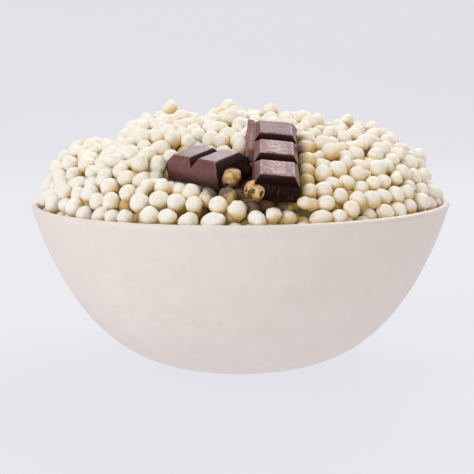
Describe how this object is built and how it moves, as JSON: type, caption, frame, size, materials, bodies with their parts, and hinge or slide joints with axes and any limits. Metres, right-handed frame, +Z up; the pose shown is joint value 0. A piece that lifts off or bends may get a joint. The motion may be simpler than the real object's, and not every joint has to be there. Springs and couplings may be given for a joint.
{
  "type": "bowl of cereal",
  "caption": "Round cream ceramic bowl heaped with pale puffed cereal balls, topped with broken pieces of segmented hazelnut chocolate.",
  "frame": {"origin": "centre of the bowl's flat base, on the surface it stands on", "axes": "+Z up along the bowl's axis; -Y is the front, where the chocolate lies on the heap"},
  "size_m": [0.18, 0.18, 0.1136],
  "materials": {
    "cream_ceramic": "matte cream-white glaze",
    "cereal": null,
    "chocolate": null,
    "hazelnut": null
  },
  "bodies": {
    "root": {"bowl": "cream_ceramic", "cereal_heap": "cereal", "chocolate_left": "chocolate", "chocolate_bar": "chocolate", "hazelnut_left": "hazelnut", "hazelnut_bar": "hazelnut"}
  },
  "joints": []
}
